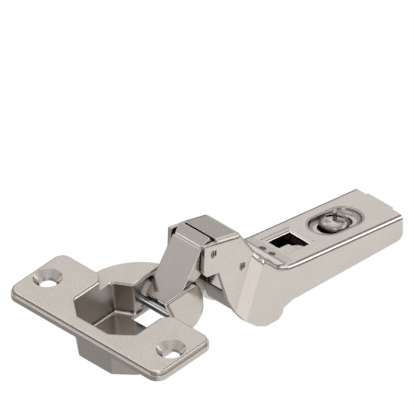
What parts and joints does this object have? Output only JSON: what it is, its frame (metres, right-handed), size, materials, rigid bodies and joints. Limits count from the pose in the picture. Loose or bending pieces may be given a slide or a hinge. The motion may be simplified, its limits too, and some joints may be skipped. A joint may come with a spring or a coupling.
{
  "type": "concealed cup hinge",
  "caption": "Concealed cabinet hinge: wing-flange cup, folding four-bar links and a cranked channel arm with slotted fixing screw.",
  "frame": {"origin": "centre of the cup bore on the surface of the door", "axes": "+Z out of the door, +Y along the hinge pins, +X from the cup towards the arm"},
  "size_m": [0.1078, 0.0556, 0.0381],
  "materials": {
    "cast_nickel": "satin nickel on a zinc casting",
    "pin_steel": "ground steel",
    "link_nickel": "satin nickel on folded steel",
    "sheet_nickel": "satin nickel on folded steel",
    "rivet_steel": "staked steel",
    "spring_steel": "dark spring steel",
    "carrier_nickel": "satin nickel on pressed steel",
    "screw_nickel": "satin nickel"
  },
  "bodies": {
    "cup": {"cup_body": "cast_nickel", "cup_pin_front": "pin_steel", "cup_pin_rear": "pin_steel"},
    "outer_link": {"outer_link": "link_nickel"},
    "inner_link": {"inner_link": "link_nickel"},
    "arm": {"arm": "sheet_nickel", "head_pin_front": "rivet_steel", "head_pin_rear": "rivet_steel", "pin_sleeve": "rivet_steel", "closing_spring": "spring_steel"},
    "carrier": {"carrier": "carrier_nickel"},
    "fixing_screw": {"fixing_screw": "screw_nickel"},
    "side_screw": {"side_screw": "screw_nickel"}
  },
  "joints": [
    {"name": "fold", "type": "hinge", "parent": "cup", "child": "outer_link", "pos_m": [0.00706, 0, -0.00543], "axis": [0, -1, 0], "range_deg": [0, 119]},
    {"name": "arm_fold", "type": "hinge", "parent": "outer_link", "child": "arm", "pos_m": [0.02242, 0, 0.00641], "axis": [0, -1, 0], "range_deg": [-24.2, 0]},
    {"name": "inner_link_fold", "type": "hinge", "parent": "cup", "child": "inner_link", "pos_m": [0.0128, 0, -0.0032], "axis": [0, -1, 0], "range_deg": [0, 128.6]},
    {"name": "depth_slide", "type": "slide", "parent": "arm", "child": "carrier", "axis": [0.981, 0, -0.1942], "range_m": [-0.002, 0.0026]},
    {"name": "fixing_screw_turn", "type": "hinge", "parent": "carrier", "child": "fixing_screw", "pos_m": [0.0713, 0, -0.01605], "axis": [0.1942, 0, 0.981], "continuous": true},
    {"name": "side_screw_turn", "type": "hinge", "parent": "carrier", "child": "side_screw", "pos_m": [0.05652, 0, -0.01965], "axis": [0.1942, 0, 0.981], "continuous": true}
  ],
  "couplings": [
    {"joint": "arm_fold", "follows": "fold", "ratio": -0.2029},
    {"joint": "inner_link_fold", "follows": "fold", "ratio": 1.08}
  ]
}
